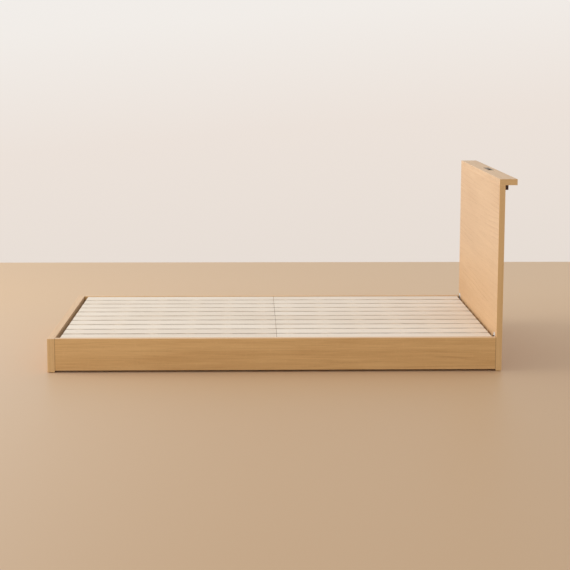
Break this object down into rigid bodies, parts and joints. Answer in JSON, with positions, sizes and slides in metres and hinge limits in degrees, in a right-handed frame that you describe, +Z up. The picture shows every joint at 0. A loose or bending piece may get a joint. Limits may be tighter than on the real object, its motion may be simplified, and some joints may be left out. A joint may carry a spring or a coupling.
{
  "type": "bed frame",
  "caption": "Low wooden single bed frame with board sides close to the floor, a lift-out slatted deck and a tall flat headboard with a narrow shelf and power outlet.",
  "frame": {"origin": "on the floor, at the middle of the frame's overall length and width", "axes": "+X towards the headboard, +Y to the left of a person facing the headboard, +Z up"},
  "size_m": [2.08, 0.98, 0.867],
  "materials": {
    "batten_timber": "planed pale softwood, unfinished",
    "black_steel": "black oxide",
    "brown_plastic": "moulded dark brown plastic",
    "contact_brass": "stamped brass",
    "dowel_beech": "fluted beech",
    "frame_timber": "planed softwood, unfinished",
    "glide_plastic": "pale brown moulded plastic",
    "nail_steel": "bright steel",
    "oak_board": "light oak grain, matt lacquer",
    "outlet_black": "moulded black plastic",
    "outlet_brown": "moulded dark brown plastic",
    "slat_timber": "planed pale softwood, unfinished",
    "yellow_zinc_screw": "yellow zinc plate",
    "zinc_steel": "bright zinc plate"
  },
  "bodies": {
    "frame": {"beam_hangers": "zinc_steel", "beam_legs": "frame_timber", "bracket_bolts": "black_steel", "bracket_screws": "yellow_zinc_screw", "centre_beam": "frame_timber", "cord_gland": "outlet_black", "corner_block_screws": "yellow_zinc_screw", "floor_glides": "glide_plastic", "foot_board": "oak_board", "foot_corner_brackets": "zinc_steel", "head_corner_brackets": "zinc_steel", "headboard_panel": "oak_board", "headboard_shelf": "oak_board", "ledger_screws": "yellow_zinc_screw", "leg_dowels": "dowel_beech", "outlet_contacts": "contact_brass", "outlet_faceplate": "outlet_brown", "outlet_housing": "outlet_brown", "outlet_sockets": "outlet_black", "rail_dowels": "dowel_beech", "shelf_corner_blocks": "brown_plastic", "shelf_dowels": "dowel_beech", "side_rail_left": "oak_board", "side_rail_right": "oak_board", "slat_ledger_left": "frame_timber", "slat_ledger_right": "frame_timber"},
    "foot_deck": {"foot_batten_1": "batten_timber", "foot_batten_2": "batten_timber", "foot_batten_3": "batten_timber", "foot_batten_4": "batten_timber", "foot_batten_5": "batten_timber", "foot_batten_6": "batten_timber", "foot_deck_nails": "nail_steel", "foot_slat_01": "slat_timber", "foot_slat_02": "slat_timber", "foot_slat_03": "slat_timber", "foot_slat_04": "slat_timber", "foot_slat_05": "slat_timber", "foot_slat_06": "slat_timber", "foot_slat_07": "slat_timber", "foot_slat_08": "slat_timber", "foot_slat_09": "slat_timber", "foot_slat_10": "slat_timber"},
    "head_deck": {"head_batten_1": "batten_timber", "head_batten_2": "batten_timber", "head_batten_3": "batten_timber", "head_batten_4": "batten_timber", "head_batten_5": "batten_timber", "head_batten_6": "batten_timber", "head_deck_nails": "nail_steel", "head_slat_01": "slat_timber", "head_slat_02": "slat_timber", "head_slat_03": "slat_timber", "head_slat_04": "slat_timber", "head_slat_05": "slat_timber", "head_slat_06": "slat_timber", "head_slat_07": "slat_timber", "head_slat_08": "slat_timber", "head_slat_09": "slat_timber", "head_slat_10": "slat_timber"}
  },
  "joints": [
    {"name": "foot_deck_lift", "type": "slide", "parent": "frame", "child": "foot_deck", "axis": [0, 0, 1], "range_m": [0, 0.25]},
    {"name": "head_deck_lift", "type": "slide", "parent": "frame", "child": "head_deck", "axis": [0, 0, 1], "range_m": [0, 0.25]}
  ]
}
